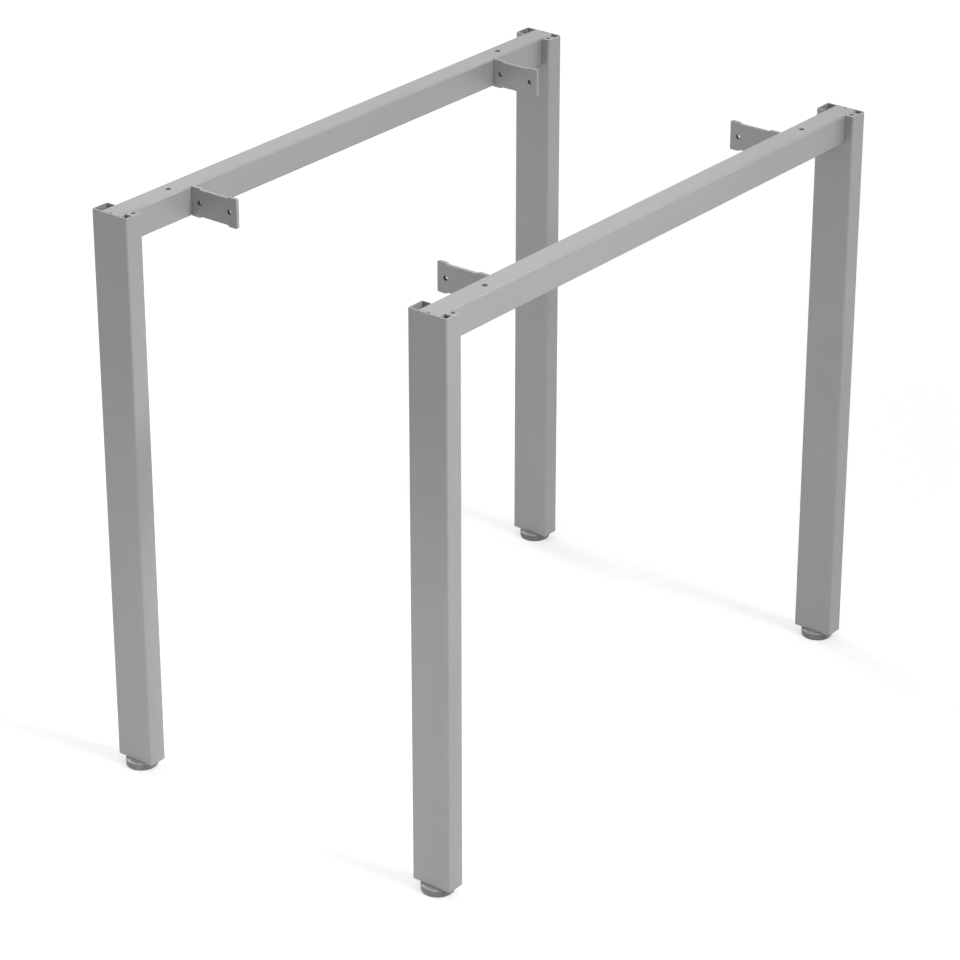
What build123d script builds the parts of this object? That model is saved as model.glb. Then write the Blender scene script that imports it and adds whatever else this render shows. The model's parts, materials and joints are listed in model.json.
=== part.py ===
"""Steel table base: two welded end frames that stand apart, each a crossbar tube let into the tops of two
leg tubes, with flat tongues for the lengthwise beams and a screw-in levelling foot under every leg.
Millimetres, +Z up. X runs from the left frame to the right one, Y from the front legs to the rear legs,
and the origin is on the floor at the middle of the base."""

import os

from build123d import *

# Driving dimensions: how the two end frames stand
frame_spacing = 455.0  # centre line of the left frame to centre line of the right frame
frame_depth = 800.0  # outer face of the front leg to outer face of the rear leg

# Driving dimensions: crossbar tube
crossbar_width = 29.0
crossbar_height = 36.0
crossbar_wall = 2.0
crossbar_inner_radius = 0.4
top_hole_diameter = 6.8  # screw holes for the table top
top_hole_inset = 97.0  # from the outer face of the leg to the hole
vent_notch_radius = 2.2  # half-round notch in the top wall, at both cut ends

# Driving dimensions: leg tube
leg_length = 700.0
leg_overhang = 12.0  # how far the leg stands out past each side of the crossbar
leg_thickness = 25.0  # along the crossbar
leg_wall = 2.0
leg_inner_radius = 0.3
deburr = 0.4  # broken outer edge of the leg's open top
weld_gap = 0.1  # fit between pieces that are welded together

# Driving dimensions: tongue plate that a lengthwise beam slides over
tongue_length = 68.0
tongue_thickness = 4.0
tongue_inset = 122.0  # from the outer face of the leg to the middle of the plate
tongue_land = 12.0  # full-height stretch at the root and at the tip
tongue_step = 1.8  # how far the waist lies below and above the lands
tongue_ramp_angle = 45.0
tongue_tip_radius = 1.5
tongue_hole_diameter = 6.0
tongue_hole_inset = 11.2  # from the root edge and from the tip edge

# Driving dimensions: small tab in the leg's mouth
pocket_slot = 9.0  # left open between the tab and the leg's outer wall
tab_thickness = 3.0
tab_drop = 0.2  # the tab lies this much below the leg's rim
tab_edge = 2.1  # steel left on either side of the tab's hole
tab_hole_setback = 4.5  # from the tab's edge at the leg's inner wall to the hole

# Driving dimensions: end plate and levelling foot
end_plate_thickness = 8.0
stud_diameter = 8.0
stud_clearance = 0.05  # around the stud in the end plate and in the pad
stud_engagement = 4.0  # thread left above the end plate when the foot is fully out
foot_travel = 12.0
pad_diameter = 39.0
pad_height = 10.8
pad_floor = 3.0  # thickness under the stud
pad_bottom_chamfer = 1.5
stop_clearance = 0.2  # between the pad and the leg when the foot is fully in

# Sizes that follow from the driving dimensions
leg_width = crossbar_width + 2 * leg_overhang
leg_corner_radius = leg_wall + leg_inner_radius
leg_bottom = pad_height + stop_clearance
leg_top = leg_bottom + leg_length
leg_center_y = (frame_depth - leg_thickness) / 2
bore_width = leg_width - 2 * leg_wall
bore_thickness = leg_thickness - 2 * leg_wall
crossbar_corner_radius = crossbar_wall + crossbar_inner_radius
crossbar_length = frame_depth - 2 * (leg_wall + weld_gap)
crossbar_middle = leg_top - crossbar_height / 2
top_hole_y = frame_depth / 2 - top_hole_inset
tongue_y = frame_depth / 2 - tongue_inset
tab_width = leg_overhang - leg_wall - 2 * weld_gap
tab_length = bore_thickness - pocket_slot - weld_gap
tab_hole_diameter = tab_width - 2 * tab_edge
tab_inner_y = leg_center_y - bore_thickness / 2 + weld_gap
stud_bottom = pad_floor + stud_clearance
stud_top = leg_bottom + end_plate_thickness + foot_travel + stud_engagement
stud_bore_radius = stud_diameter / 2 + stud_clearance

# The left frame stands at -X and the right one at +X; a front leg is at -Y and a rear leg at +Y.
sides = {"left": -1, "right": 1}
ends = {"front": -1, "rear": 1}


def save(piece, name):
    """Label a finished piece and write it to its own file."""
    piece.part.label = name
    export_step(piece.part, f"parts/{name}.step")


def make_leg(name, x, end):
    """Upright tube, open at the top, with a seat for the crossbar cut into its inner wall."""
    y = end * leg_center_y
    seat = Plane(origin=(x, y, leg_top), x_dir=(1, 0, 0), z_dir=(0, -end, 0))
    with BuildPart() as leg:
        with BuildSketch(Plane.XY.offset(leg_bottom)):
            with Locations((x, y)):
                RectangleRounded(leg_width, leg_thickness, leg_corner_radius)
                RectangleRounded(bore_width, bore_thickness, leg_inner_radius, mode=Mode.SUBTRACT)
        extrude(amount=leg_length)
        rim = leg.faces().sort_by(Axis.Z)[-1]
        chamfer(rim.outer_wire().edges(), deburr)
        with BuildSketch(seat):
            RectangleRounded(
                crossbar_width + 2 * weld_gap,
                2 * (crossbar_height + weld_gap),
                crossbar_corner_radius + weld_gap,
            )
        extrude(amount=leg_thickness, mode=Mode.SUBTRACT)
    save(leg, name)


def make_crossbar(name, x):
    """Tube from the outer wall of the front leg to that of the rear leg, flush with their tops."""
    with BuildPart() as crossbar:
        with BuildSketch(Plane.XZ):
            with Locations((x, crossbar_middle)):
                RectangleRounded(crossbar_width, crossbar_height, crossbar_corner_radius)
                RectangleRounded(
                    crossbar_width - 2 * crossbar_wall,
                    crossbar_height - 2 * crossbar_wall,
                    crossbar_inner_radius,
                    mode=Mode.SUBTRACT,
                )
        extrude(amount=crossbar_length / 2, both=True)
        with Locations((x, -top_hole_y, leg_top), (x, top_hole_y, leg_top)):
            Hole(top_hole_diameter / 2)
        with Locations((x, -crossbar_length / 2, leg_top), (x, crossbar_length / 2, leg_top)):
            Hole(vent_notch_radius, depth=crossbar_wall)
    save(crossbar, name)


def make_tongue(name, x, side, end):
    """Flat plate welded edge-on to the crossbar, full height at root and tip and waisted between."""
    root_x = x - side * (crossbar_width / 2 + weld_gap)
    plate = Plane(origin=(root_x, end * tongue_y, crossbar_middle), x_dir=(-side, 0, 0), z_dir=(0, side, 0))
    waist_length = tongue_length - 2 * tongue_land
    waist_height = (crossbar_height - tongue_step) / 2
    with BuildPart() as tongue:
        with BuildSketch(plate) as outline:
            with Locations((tongue_length / 2, 0)):
                Rectangle(tongue_length, crossbar_height)
            fillet(outline.vertices().group_by(Axis.X)[-1], tongue_tip_radius)
            with Locations((tongue_length / 2, -waist_height)):
                Trapezoid(waist_length, tongue_step, tongue_ramp_angle, mode=Mode.SUBTRACT)
            with Locations((tongue_length / 2, waist_height)):
                Trapezoid(waist_length, tongue_step, tongue_ramp_angle, rotation=180, mode=Mode.SUBTRACT)
            with Locations((tongue_hole_inset, 0), (tongue_length - tongue_hole_inset, 0)):
                Circle(tongue_hole_diameter / 2, mode=Mode.SUBTRACT)
        extrude(amount=tongue_thickness / 2, both=True)
    save(tongue, name)


def make_tab(name, x, end):
    """Small drilled tab between the crossbar and the leg's right-hand wall, at the leg's inner wall."""
    tab_x = x + crossbar_width / 2 + weld_gap + tab_width / 2
    tab_y = end * (tab_inner_y + tab_length / 2)
    hole_y = end * (tab_inner_y + tab_hole_setback)
    with BuildPart() as tab:
        with BuildSketch(Plane.XY.offset(leg_top - tab_drop)):
            with Locations((tab_x, tab_y)):
                Rectangle(tab_width, tab_length)
            with Locations((tab_x, hole_y)):
                Circle(tab_hole_diameter / 2, mode=Mode.SUBTRACT)
        extrude(amount=-tab_thickness)
    save(tab, name)


def make_end_plate(name, x, end):
    """Thick plate welded into the leg's lower end, tapped for the levelling foot."""
    with BuildPart() as end_plate:
        with BuildSketch(Plane.XY.offset(leg_bottom)):
            with Locations((x, end * leg_center_y)):
                Rectangle(bore_width - 2 * weld_gap, bore_thickness - 2 * weld_gap)
                Circle(stud_bore_radius, mode=Mode.SUBTRACT)
        extrude(amount=end_plate_thickness)
    save(end_plate, name)


def make_foot_pad(name, x, end):
    """Round foot turned about its stud, with a broken lower edge and a bore for the stud."""
    section = Plane(origin=(x, end * leg_center_y, 0), x_dir=(1, 0, 0), z_dir=(0, -1, 0))
    corner = (Align.MIN, Align.MIN)
    with BuildPart() as pad:
        with BuildSketch(section) as profile:
            Rectangle(pad_diameter / 2, pad_height, align=corner)
            chamfer(profile.vertices().group_by(Axis.Y)[0].sort_by(Axis.X)[-1], pad_bottom_chamfer)
            with Locations((0, pad_floor)):
                Rectangle(stud_bore_radius, pad_height, align=corner, mode=Mode.SUBTRACT)
        revolve(axis=Axis(section.origin, (0, 0, 1)))
    save(pad, name)


def make_foot_stud(name, x, end):
    """Threaded stud of the foot, drawn at its outer diameter."""
    with BuildPart() as stud:
        with BuildSketch(Plane.XY.offset(stud_bottom)):
            with Locations((x, end * leg_center_y)):
                Circle(stud_diameter / 2)
        extrude(amount=stud_top - stud_bottom)
    save(stud, name)


os.makedirs("parts", exist_ok=True)
for side_name, side in sides.items():
    frame_x = side * frame_spacing / 2
    make_crossbar(f"{side_name}_crossbar", frame_x)
    for end_name, end in ends.items():
        corner_name = f"{side_name}_{end_name}"
        make_leg(f"{corner_name}_leg", frame_x, end)
        make_tongue(f"{corner_name}_tongue", frame_x, side, end)
        make_tab(f"{corner_name}_tab", frame_x, end)
        make_end_plate(f"{corner_name}_end_plate", frame_x, end)
        make_foot_pad(f"{corner_name}_foot_pad", frame_x, end)
        make_foot_stud(f"{corner_name}_foot_stud", frame_x, end)
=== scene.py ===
"""Looks of the steel table base: powder-coated end frames with threads tapped in their tongues, and moulded
levelling feet with pressed steel covers and zinc-plated studs, on a plain white studio floor.
Metres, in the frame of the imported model."""

import json
import math

import bpy
import numpy as np
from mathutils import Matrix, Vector

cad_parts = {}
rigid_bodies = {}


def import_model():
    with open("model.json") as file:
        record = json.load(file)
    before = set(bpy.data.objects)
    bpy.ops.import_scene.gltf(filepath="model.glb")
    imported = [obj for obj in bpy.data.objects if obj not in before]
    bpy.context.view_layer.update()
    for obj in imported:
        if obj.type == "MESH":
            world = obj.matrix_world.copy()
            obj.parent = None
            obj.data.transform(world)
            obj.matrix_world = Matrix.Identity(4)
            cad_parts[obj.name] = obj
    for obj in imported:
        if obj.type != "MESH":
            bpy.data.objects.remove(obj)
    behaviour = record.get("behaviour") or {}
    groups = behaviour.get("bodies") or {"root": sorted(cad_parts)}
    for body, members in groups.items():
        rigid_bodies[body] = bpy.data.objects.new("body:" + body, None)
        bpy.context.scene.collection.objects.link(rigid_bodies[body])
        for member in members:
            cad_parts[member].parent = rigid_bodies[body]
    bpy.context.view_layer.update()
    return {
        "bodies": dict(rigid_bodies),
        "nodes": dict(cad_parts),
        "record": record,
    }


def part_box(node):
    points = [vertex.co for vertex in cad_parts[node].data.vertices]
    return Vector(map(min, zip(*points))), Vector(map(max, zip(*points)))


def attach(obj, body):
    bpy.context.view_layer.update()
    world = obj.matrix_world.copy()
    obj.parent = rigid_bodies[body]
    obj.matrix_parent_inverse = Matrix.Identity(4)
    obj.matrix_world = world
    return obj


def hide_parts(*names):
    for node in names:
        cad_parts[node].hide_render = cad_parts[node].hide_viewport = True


for leftover in list(bpy.data.objects):
    bpy.data.objects.remove(leftover)

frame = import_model()

MM = 0.001
WHITE = (1.0, 1.0, 1.0, 1.0)

# Corners of the base, as the frame names them
CORNERS = ("left_front", "left_rear", "right_front", "right_rear")

# Levelling foot: a moulded pad under a pressed steel cover
PAD_BOTTOM_RADIUS = 2.0 * MM
PAD_TOP_RADIUS = 0.4 * MM
PAD_FLOOR = 3.0 * MM
COVER_HEIGHT = 2.2 * MM
COVER_SETBACK = 0.2 * MM
COVER_SLOPE_WIDTH = 3.6 * MM
COVER_SLOPE_HEIGHT = 1.8 * MM
STUD_CLEARANCE = 0.05 * MM
FOOT_SEGMENTS = 120
FOOT_SHARP_DEGREES = 30
ARC_STEPS = 8

# M8 thread on the studs
STUD_PITCH = 1.25 * MM
STUD_THREAD_DEPTH = 0.70 * MM
STUD_TIP_CHAMFER = 1.0 * MM

# M6 thread in the tongues' holes, on a sleeve with a thin wall behind the root
TONGUE_HOLE_INSET = 11.2 * MM
TONGUE_HOLE_RADIUS = 3.0 * MM
TONGUE_PITCH = 1.0 * MM
TONGUE_THREAD_DEPTH = 0.45 * MM
TONGUE_THREAD_WALL = 0.045 * MM
TONGUE_THREAD_CLEARANCE = 0.03 * MM

# Form of both threads: the share of its wave cut flat at crest and root, and the grid that carries it
THREAD_FLAT = 0.125
THREAD_ROWS_PER_PITCH = 10
THREAD_SEGMENTS = 40
THREAD_SHARP_DEGREES = 60

# Turns of a surface of revolution: its axis along Z, or along Y
AXIS_Z = np.array([[1, 0, 0], [0, 1, 0], [0, 0, 1]])
AXIS_Y = np.array([[1, 0, 0], [0, 0, 1], [0, -1, 0]])

FLOOR_HALF_SIDE = 15.0

# Camera, placed to match the photograph
CAMERA_LENS_MM = 135.0
CAMERA_AZIMUTH = 38.2
CAMERA_ELEVATION = 25.8
CAMERA_DISTANCE = 4.315
CAMERA_AIM = (0.0035, -0.0258, 0.3091)


def linear(hex_colour):
    """sRGB hex to linear RGBA: each channel c becomes ((c + 0.055) / 1.055) ** 2.4,
    or c / 12.92 near black."""
    channels = np.array([int(hex_colour[i:i + 2], 16) for i in (1, 3, 5)]) / 255.0
    curve = np.where(channels <= 0.04045, channels / 12.92, ((channels + 0.055) / 1.055) ** 2.4)
    return (*curve.tolist(), 1.0)


def add_node(tree, kind, inputs=None, **settings):
    """Add a shader node with its settings. Of its inputs, a socket is linked and any other value is set."""
    node = tree.nodes.new(kind)
    for name, value in settings.items():
        setattr(node, name, value)
    for socket, value in (inputs or {}).items():
        if isinstance(value, bpy.types.NodeSocket):
            tree.links.new(value, node.inputs[socket])
        else:
            node.inputs[socket].default_value = value
    return node


def new_material(name):
    """Empty node material: returns it with its tree, its surface shader and its Object coordinates."""
    material = bpy.data.materials.new(name)
    material.use_nodes = True
    tree = material.node_tree
    tree.nodes.clear()
    output = add_node(tree, "ShaderNodeOutputMaterial")
    shader = add_node(tree, "ShaderNodeBsdfPrincipled")
    tree.links.new(shader.outputs["BSDF"], output.inputs["Surface"])
    place = add_node(tree, "ShaderNodeTexCoord").outputs["Object"]
    return material, tree, shader, place


def per_metre(size_mm):
    """Texture scale that makes one feature about size_mm long: features per metre."""
    return 1.0 / (size_mm * MM)


def silver_powder_coat():
    """Polyester powder coat, silver grey with fine aluminium flake, baked on steel tube.
    The eye sees an even satin grey with soft highlights, a slight orange peel and a faint sparkle."""
    material, tree, shader, place = new_material("silver_powder_coat")
    # Flake of a few hundredths of a millimetre, drawn at 1.6 mm so that it shows in the render
    flake = add_node(tree, "ShaderNodeTexNoise", {"Vector": place, "Scale": per_metre(1.6), "Detail": 2.0})
    film = add_node(tree, "ShaderNodeTexNoise", {"Vector": place, "Scale": per_metre(140.0), "Detail": 3.0})
    tone = add_node(
        tree,
        "ShaderNodeMix",
        {"Factor": 0.25, "A": film.outputs["Fac"], "B": flake.outputs["Fac"]},
        data_type="FLOAT",
    )
    ramp = add_node(tree, "ShaderNodeValToRGB", {"Fac": tone.outputs["Result"]})
    ramp.color_ramp.elements[0].position = 0.3
    ramp.color_ramp.elements[0].color = linear("#A3A4A6")
    ramp.color_ramp.elements[1].position = 0.7
    ramp.color_ramp.elements[1].color = linear("#A9AAAC")
    tree.links.new(ramp.outputs["Color"], shader.inputs["Base Color"])
    gloss = add_node(
        tree,
        "ShaderNodeMapRange",
        {"Value": film.outputs["Fac"], "To Min": 0.36, "To Max": 0.46},
    )
    tree.links.new(gloss.outputs["Result"], shader.inputs["Roughness"])
    # Orange peel about 1.5 mm across, drawn at 3 mm so that it shows in the render
    peel = add_node(tree, "ShaderNodeTexNoise", {"Vector": place, "Scale": per_metre(3.0), "Detail": 1.0})
    bump = add_node(
        tree,
        "ShaderNodeBump",
        {"Height": peel.outputs["Fac"], "Strength": 0.12, "Distance": 0.1 * MM},
    )
    tree.links.new(bump.outputs["Normal"], shader.inputs["Normal"])
    shader.inputs["Metallic"].default_value = 0.25
    return material


def grey_plastic_painted_shade():
    """Grey polyamide, injection moulded in a spark-eroded tool, its colour set darker than the plain
    plastic: partly its own grey, partly painted shade near the floor.
    The eye sees a dull, slightly darker grey than the frame, with a fine even grain."""
    material, tree, shader, place = new_material("grey_plastic_painted_shade")
    # Spark-eroded grain of about 0.1 mm, drawn at 0.9 mm so that it shows in the render
    grain = add_node(tree, "ShaderNodeTexNoise", {"Vector": place, "Scale": per_metre(0.9), "Detail": 2.0})
    cloud = add_node(tree, "ShaderNodeTexNoise", {"Vector": place, "Scale": per_metre(12.0), "Detail": 2.0})
    # Random cloudy tone on a grey that is partly painted shade near the floor
    ramp = add_node(tree, "ShaderNodeValToRGB", {"Fac": cloud.outputs["Fac"]})
    ramp.color_ramp.elements[0].position = 0.3
    ramp.color_ramp.elements[0].color = linear("#7A7B7D")
    ramp.color_ramp.elements[1].position = 0.7
    ramp.color_ramp.elements[1].color = linear("#858688")
    tree.links.new(ramp.outputs["Color"], shader.inputs["Base Color"])
    bump = add_node(
        tree,
        "ShaderNodeBump",
        {"Height": grain.outputs["Fac"], "Strength": 0.25, "Distance": 0.1 * MM},
    )
    tree.links.new(bump.outputs["Normal"], shader.inputs["Normal"])
    shader.inputs["Roughness"].default_value = 0.5
    shader.inputs["IOR"].default_value = 1.53
    return material


def zinc_plated_steel():
    """Zinc plate on a foot's rolled stud and its pressed cover, dulled by its passivation.
    The eye sees a cool, slightly cloudy metal with soft highlights."""
    material, tree, shader, place = new_material("zinc_plated_steel")
    cloud = add_node(tree, "ShaderNodeTexNoise", {"Vector": place, "Scale": per_metre(4.0), "Detail": 3.0})
    ramp = add_node(tree, "ShaderNodeValToRGB", {"Fac": cloud.outputs["Fac"]})
    ramp.color_ramp.elements[0].position = 0.35
    ramp.color_ramp.elements[0].color = linear("#9C9FA2")
    ramp.color_ramp.elements[1].position = 0.65
    ramp.color_ramp.elements[1].color = linear("#B0B0AE")
    tree.links.new(ramp.outputs["Color"], shader.inputs["Base Color"])
    gloss = add_node(
        tree,
        "ShaderNodeMapRange",
        {"Value": cloud.outputs["Fac"], "To Min": 0.42, "To Max": 0.55},
    )
    tree.links.new(gloss.outputs["Result"], shader.inputs["Roughness"])
    shader.inputs["Metallic"].default_value = 1.0
    return material


def dark_thread_steel_painted_shade():
    """Bare low-carbon steel where a thread was tapped after coating, coloured far darker than bare steel:
    painted shade inside the tongues' holes.
    The eye sees a dark metal, slightly stained by cutting oil, most of its darkness being painted shade."""
    material, tree, shader, place = new_material("dark_thread_steel_painted_shade")
    stain = add_node(tree, "ShaderNodeTexNoise", {"Vector": place, "Scale": per_metre(1.5), "Detail": 2.0})
    # Near-black steel as painted shade in the holes, with random stain patches
    ramp = add_node(tree, "ShaderNodeValToRGB", {"Fac": stain.outputs["Fac"]})
    ramp.color_ramp.elements[0].position = 0.3
    ramp.color_ramp.elements[0].color = linear("#3E3D3C")
    ramp.color_ramp.elements[1].position = 0.7
    ramp.color_ramp.elements[1].color = linear("#565554")
    tree.links.new(ramp.outputs["Color"], shader.inputs["Base Color"])
    shader.inputs["Metallic"].default_value = 1.0
    shader.inputs["Roughness"].default_value = 0.35
    return material


def turned_mesh(name, radius, along, origin, axis, sharp_degrees, ring=False):
    """Closed surface about an axis through origin. radius and along are arrays of rows by columns: point
    (i, j) lies at angle 2 pi j / columns, at radius[i, j] from the axis and along[i, j] along it. In a ring
    the last row joins the first one; otherwise a pole on the axis closes each end."""
    rows, columns = radius.shape
    angle = 2 * math.pi * np.arange(columns) / columns
    points = np.stack([radius * np.cos(angle), radius * np.sin(angle), along], axis=-1).reshape(-1, 3)
    here = np.arange(columns)
    after = (here + 1) % columns
    row = np.arange(rows if ring else rows - 1)[:, None]
    low, high = row * columns, (row + 1) % rows * columns
    faces = np.stack([low + here, low + after, high + after, high + here], axis=-1).reshape(-1, 4).tolist()
    if not ring:
        poles = np.array([[0, 0, along[0].mean()], [0, 0, along[-1].mean()]])
        first, last, top = rows * columns, rows * columns + 1, (rows - 1) * columns
        points = np.concatenate([points, poles])
        faces += np.stack([np.full(columns, first), after, here], axis=-1).tolist()
        faces += np.stack([np.full(columns, last), top + here, top + after], axis=-1).tolist()
    mesh = bpy.data.meshes.new(name)
    mesh.from_pydata((points @ axis.T + np.array(origin)).tolist(), [], faces)
    mesh.validate()
    mesh.polygons.foreach_set("use_smooth", np.ones(len(mesh.polygons), dtype=bool))
    mesh.set_sharp_from_angle(angle=math.radians(sharp_degrees))
    piece = bpy.data.objects.new(name, mesh)
    bpy.context.scene.collection.objects.link(piece)
    return piece


def arc(center_r, center_z, radius, start_degrees, end_degrees):
    """Points (r, z) of a round edge: the centre plus radius times (cos, sin) of evenly spaced angles."""
    turn = np.radians(np.linspace(start_degrees, end_degrees, ARC_STEPS + 1))
    return np.stack([center_r + radius * np.cos(turn), center_z + radius * np.sin(turn)], axis=-1)


def turned_foot_piece(name, section, corner, material, ring=False):
    """Turn a half section of (r, z) points once about the stud's axis: a piece of that corner's foot."""
    low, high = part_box(f"{corner}_foot_pad")
    radius = np.repeat(section[:, :1], FOOT_SEGMENTS, axis=1)
    along = np.repeat(section[:, 1:], FOOT_SEGMENTS, axis=1)
    origin = ((low.x + high.x) / 2, (low.y + high.y) / 2, 0)
    piece = turned_mesh(name, radius, along, origin, AXIS_Z, FOOT_SHARP_DEGREES, ring)
    piece.data.materials.append(material)
    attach(piece, f"{corner}_foot")
    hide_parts(f"{corner}_foot_pad")


def foot_pad(corner, plastic, zinc):
    """Round foot. The pad's half section runs from the middle of the sole round its lower and upper edges
    and down into the stud's hole. The cover's runs round its thin edge, up a slope and in to the stud."""
    low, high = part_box(f"{corner}_foot_pad")
    stud_low, stud_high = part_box(f"{corner}_foot_stud")
    outer = (high.x - low.x) / 2
    bore = (stud_high.x - stud_low.x) / 2 + STUD_CLEARANCE
    seam = high.z - COVER_HEIGHT
    pad = np.concatenate(
        [
            arc(outer - PAD_BOTTOM_RADIUS, low.z + PAD_BOTTOM_RADIUS, PAD_BOTTOM_RADIUS, -90, 0),
            arc(outer - PAD_TOP_RADIUS, seam - PAD_TOP_RADIUS, PAD_TOP_RADIUS, 0, 90),
            [(bore, seam), (bore, low.z + PAD_FLOOR)],
        ]
    )
    turned_foot_piece(f"{corner}_foot", pad, corner, plastic)
    rim = outer - COVER_SETBACK
    cover = np.array(
        [
            (bore, seam),
            (rim, seam),
            (rim, high.z - COVER_SLOPE_HEIGHT),
            (rim - COVER_SLOPE_WIDTH, high.z),
            (bore, high.z),
        ]
    )
    turned_foot_piece(f"{corner}_foot_cover", cover, corner, zinc, ring=True)


def thread(start, end, pitch):
    """Rows along an axis from start to end, and how deep the thread is there: at angle a and place z the
    groove is a triangle wave of z / pitch - a / (2 pi), cut flat at 0 on the crest and at 1 in the root."""
    rows = int(round(abs(end - start) / pitch * THREAD_ROWS_PER_PITCH))
    along = np.linspace(start, end, rows + 1)[:, None] * np.ones((1, THREAD_SEGMENTS))
    turn = np.arange(THREAD_SEGMENTS)[None, :] / THREAD_SEGMENTS
    wave = np.abs(2 * np.mod(along / pitch - turn, 1.0) - 1.0)
    return along, np.clip((wave - THREAD_FLAT) / (1.0 - 2 * THREAD_FLAT), 0.0, 1.0)


def foot_stud(corner, material):
    """Threaded stud: the outer radius less the groove, and cut back at the tip by a 45 degree chamfer."""
    low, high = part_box(f"{corner}_foot_stud")
    outer = (high.x - low.x) / 2
    along, groove = thread(low.z, high.z, STUD_PITCH)
    radius = np.minimum(outer - STUD_THREAD_DEPTH * groove, outer - STUD_TIP_CHAMFER + high.z - along)
    origin = ((low.x + high.x) / 2, (low.y + high.y) / 2, 0)
    stud = turned_mesh(f"{corner}_threaded_stud", radius, along, origin, AXIS_Z, THREAD_SHARP_DEGREES)
    stud.data.materials.append(material)
    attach(stud, f"{corner}_foot")
    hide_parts(f"{corner}_foot_stud")


def tongue_threads(corner, material):
    """Thread of the tongue's two holes: a thin sleeve, whose inner radius is the outer one less the wall
    and less what the groove leaves of the thread's depth. Its near-black steel is painted shade inside the
    holes."""
    low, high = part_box(f"{corner}_tongue")
    along, groove = thread(high.y, low.y, TONGUE_PITCH)
    outer = TONGUE_HOLE_RADIUS - TONGUE_THREAD_CLEARANCE
    inner = outer - TONGUE_THREAD_WALL - TONGUE_THREAD_DEPTH * (1.0 - groove)
    radius = np.concatenate([np.full((2, THREAD_SEGMENTS), outer), inner])
    along = np.concatenate([along[-1:], along[:1], along])
    middle = (low.z + high.z) / 2
    for label, x in (("left", low.x + TONGUE_HOLE_INSET), ("right", high.x - TONGUE_HOLE_INSET)):
        name = f"{corner}_tongue_{label}_thread"
        piece = turned_mesh(name, radius, along, (x, 0, middle), AXIS_Y, THREAD_SHARP_DEGREES, ring=True)
        piece.data.materials.append(material)
        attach(piece, "frames")


def coat_frames(material):
    """Every node of the welded frames is powder coated as one."""
    for name in frame["record"]["behaviour"]["bodies"]["frames"]:
        for place in frame["nodes"][name].material_slots:
            place.material = material


def seen_rays(tree):
    """Output that is 1 on camera, glossy and transmission rays, and 0 on those that carry other light."""
    path = add_node(tree, "ShaderNodeLightPath")
    mirrored = add_node(
        tree,
        "ShaderNodeMath",
        {0: path.outputs["Is Camera Ray"], 1: path.outputs["Is Glossy Ray"]},
        operation="MAXIMUM",
    )
    seen = add_node(
        tree,
        "ShaderNodeMath",
        {0: mirrored.outputs["Value"], 1: path.outputs["Is Transmission Ray"]},
        operation="MAXIMUM",
    )
    return seen.outputs["Value"]


def white_studio_floor():
    """Pale matt paint, raised to white on seen rays by a glow.
    The eye sees a white floor with only the object's deeper shadow on it."""
    material = bpy.data.materials.new("white_studio_floor")
    material.use_nodes = True
    tree = material.node_tree
    tree.nodes.clear()
    place = add_node(tree, "ShaderNodeTexCoord").outputs["Object"]
    reach = add_node(tree, "ShaderNodeVectorMath", {0: place}, operation="LENGTH")
    # The lamps light the floor less and less away from the object, and the glow makes up for it
    level = add_node(
        tree,
        "ShaderNodeMapRange",
        {"Value": reach.outputs["Value"], "From Min": 0.4, "From Max": 2.0, "To Min": 0.56, "To Max": 0.77},
    )
    glow = add_node(
        tree,
        "ShaderNodeMath",
        {0: seen_rays(tree), 1: level.outputs["Result"]},
        operation="MULTIPLY",
    )
    paint = add_node(tree, "ShaderNodeBsdfDiffuse", {"Color": linear("#C4C4C4")})
    white = add_node(tree, "ShaderNodeEmission", {"Color": WHITE, "Strength": glow.outputs["Value"]})
    both = add_node(tree, "ShaderNodeAddShader", {0: paint.outputs["BSDF"], 1: white.outputs["Emission"]})
    add_node(tree, "ShaderNodeOutputMaterial", {"Surface": both.outputs["Shader"]})
    return material


def studio_floor(material):
    """Flat square floor, which lies under the foot that is screwed out furthest."""
    half = FLOOR_HALF_SIDE
    points = [(-half, -half, 0), (half, -half, 0), (half, half, 0), (-half, half, 0)]
    mesh = bpy.data.meshes.new("studio_floor")
    mesh.from_pydata(points, [], [(0, 1, 2, 3)])
    mesh.materials.append(material)
    floor = bpy.data.objects.new("studio_floor", mesh)
    bpy.context.scene.collection.objects.link(floor)
    for corner in CORNERS:
        under = floor.constraints.new("FLOOR")
        under.target = frame["bodies"][f"{corner}_foot"]
        under.floor_location = "FLOOR_NEGATIVE_Z"


def studio_world(ambient):
    """White on seen rays, and an even grey sky of that strength for all other light."""
    world = bpy.data.worlds.new("studio_world")
    bpy.context.scene.world = world
    world.use_nodes = True
    tree = world.node_tree
    tree.nodes.clear()
    sky = add_node(tree, "ShaderNodeBackground", {"Color": WHITE, "Strength": ambient})
    white = add_node(tree, "ShaderNodeBackground", {"Color": WHITE, "Strength": 1.0})
    mix = add_node(
        tree,
        "ShaderNodeMixShader",
        {0: seen_rays(tree), 1: sky.outputs["Background"], 2: white.outputs["Background"]},
    )
    add_node(tree, "ShaderNodeOutputWorld", {"Surface": mix.outputs["Shader"]})


def direction(azimuth, elevation):
    """Unit vector (sin a cos e, -cos a cos e, sin e) from the base towards a viewer or lamp: azimuth a is 0
    at -Y and 90 at +X, and elevation e is above the floor."""
    a, e = math.radians(azimuth), math.radians(elevation)
    return np.array([math.sin(a) * math.cos(e), -math.cos(a) * math.cos(e), math.sin(e)])


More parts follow.
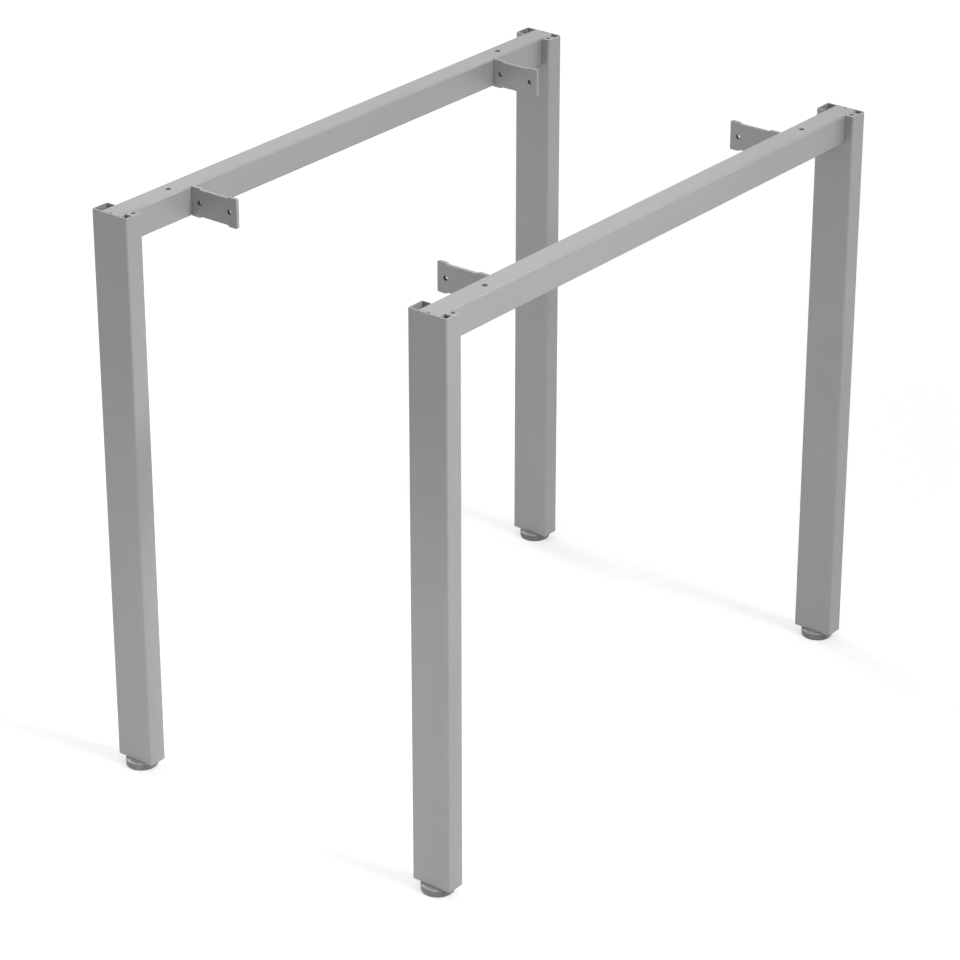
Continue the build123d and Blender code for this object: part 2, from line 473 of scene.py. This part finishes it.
def look_at(thing, place, aim):
    """Put a lamp or camera at a place, with its back pointing away from the aim and its upper side up."""
    thing.location = place
    back = (np.array(place) - np.array(aim)).tolist()
    thing.rotation_euler = Vector(back).to_track_quat("Z", "Y").to_euler()


def softbox(name, aim, azimuth, elevation, distance, size, spread, power):
    """Square lamp that looks at a point from a distance: side in metres, spread in degrees, power in W."""
    lamp = bpy.data.lights.new(name, "AREA")
    lamp.shape = "SQUARE"
    lamp.size = size
    lamp.spread = math.radians(spread)
    lamp.energy = power
    holder = bpy.data.objects.new(name, lamp)
    holder.visible_camera = False
    bpy.context.scene.collection.objects.link(holder)
    look_at(holder, (np.array(aim) + distance * direction(azimuth, elevation)).tolist(), aim)


def photograph_camera():
    """Camera at the photograph's viewing angle, with no shift and no depth of field."""
    camera = bpy.data.objects.new("camera", bpy.data.cameras.new("camera"))
    bpy.context.scene.collection.objects.link(camera)
    camera.data.lens = CAMERA_LENS_MM
    place = np.array(CAMERA_AIM) + CAMERA_DISTANCE * direction(CAMERA_AZIMUTH, CAMERA_ELEVATION)
    look_at(camera, place.tolist(), CAMERA_AIM)
    bpy.context.scene.camera = camera


coat_frames(silver_powder_coat())
pad_plastic_painted_shade = grey_plastic_painted_shade()
zinc_plate = zinc_plated_steel()
bare_steel_painted_shade = dark_thread_steel_painted_shade()
for corner_name in CORNERS:
    foot_pad(corner_name, pad_plastic_painted_shade, zinc_plate)
    foot_stud(corner_name, zinc_plate)
    tongue_threads(corner_name, bare_steel_painted_shade)

studio_floor(white_studio_floor())
studio_world(ambient=0.44)
# Key light on the right, a small fill low in front, a wide lamp overhead and another behind on the left
softbox(
    "key_right", aim=(0, -0.35, 0.5), azimuth=97, elevation=36, distance=5.0, size=1.2, spread=30, power=6.3
)
softbox(
    "front_fill", aim=(0, -0.4, 0.1), azimuth=0, elevation=6, distance=0.6, size=0.28, spread=90, power=0.27
)
softbox(
    "overhead", aim=(0, 0, 0.7), azimuth=0, elevation=89.9, distance=2.6, size=2.4, spread=180, power=9.6
)
softbox(
    "back_left", aim=(0, 0, 0.4), azimuth=254, elevation=30, distance=5.0, size=2.4, spread=40, power=6.3
)
photograph_camera()
bpy.context.scene.view_settings.view_transform = "Standard"
